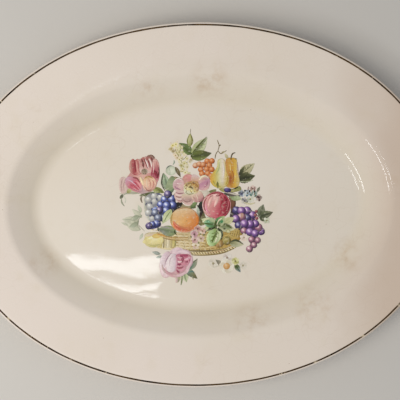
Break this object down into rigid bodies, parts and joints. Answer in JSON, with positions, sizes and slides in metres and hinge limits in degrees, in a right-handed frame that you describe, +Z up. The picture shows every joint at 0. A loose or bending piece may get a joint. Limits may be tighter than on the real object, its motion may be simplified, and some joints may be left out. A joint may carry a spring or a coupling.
{
  "type": "oval serving platter",
  "caption": "Oval glazed earthenware serving platter with a broad rim, sloping verge, flat well and foot ring, a gilt edge line and a fruit-and-flower basket print",
  "frame": {"origin": "on the table, under the middle of the oval, where the foot ring stands", "axes": "+X along the long axis of the oval, +Y along the short axis towards the top of the print, +Z up out of the well"},
  "size_m": [0.343, 0.256, 0.0291],
  "materials": {
    "glazed_earthenware": "glossy aged ivory glaze",
    "worn_gilding": "worn liquid-bright gilding, darkened",
    "underglaze_blue": "glossy",
    "green_enamel": "glossy fired enamel",
    "rose_enamel": "glossy fired enamel",
    "red_enamel": "glossy fired enamel",
    "orange_enamel": "glossy fired enamel",
    "yellow_enamel": "glossy fired enamel",
    "blue_enamel": "glossy fired enamel",
    "purple_enamel": "glossy fired enamel",
    "cream_enamel": "glossy fired enamel",
    "brown_enamel": "glossy fired enamel"
  },
  "bodies": {
    "root": {"platter_body": "glazed_earthenware", "gilt_rim_line": "worn_gilding", "backstamp": "underglaze_blue", "faded_spray": "green_enamel", "wicker_basket": "yellow_enamel", "lemon": "yellow_enamel", "tendril": "brown_enamel", "top_leaves": "green_enamel", "blossom_spray": "cream_enamel", "white_bud": "cream_enamel", "tulip_leaves": "green_enamel", "parrot_tulip": "rose_enamel", "fruit_leaves": "green_enamel", "orange_berries": "orange_enamel", "pears": "yellow_enamel", "forget_me_nots": "cream_enamel", "pale_grapes": "cream_enamel", "dark_foliage": "brown_enamel", "blue_grapes": "blue_enamel", "under_leaf": "green_enamel", "apricot": "orange_enamel", "wild_rose": "rose_enamel", "violet": "blue_enamel", "red_apple": "red_enamel", "purple_grapes": "purple_enamel", "ivy_sprig": "green_enamel", "gold_plums": "yellow_enamel", "lobed_leaf": "green_enamel", "basket_blossoms": "rose_enamel", "rose_leaves": "green_enamel", "cabbage_rose": "rose_enamel", "daisy_spray": "cream_enamel"}
  },
  "joints": []
}
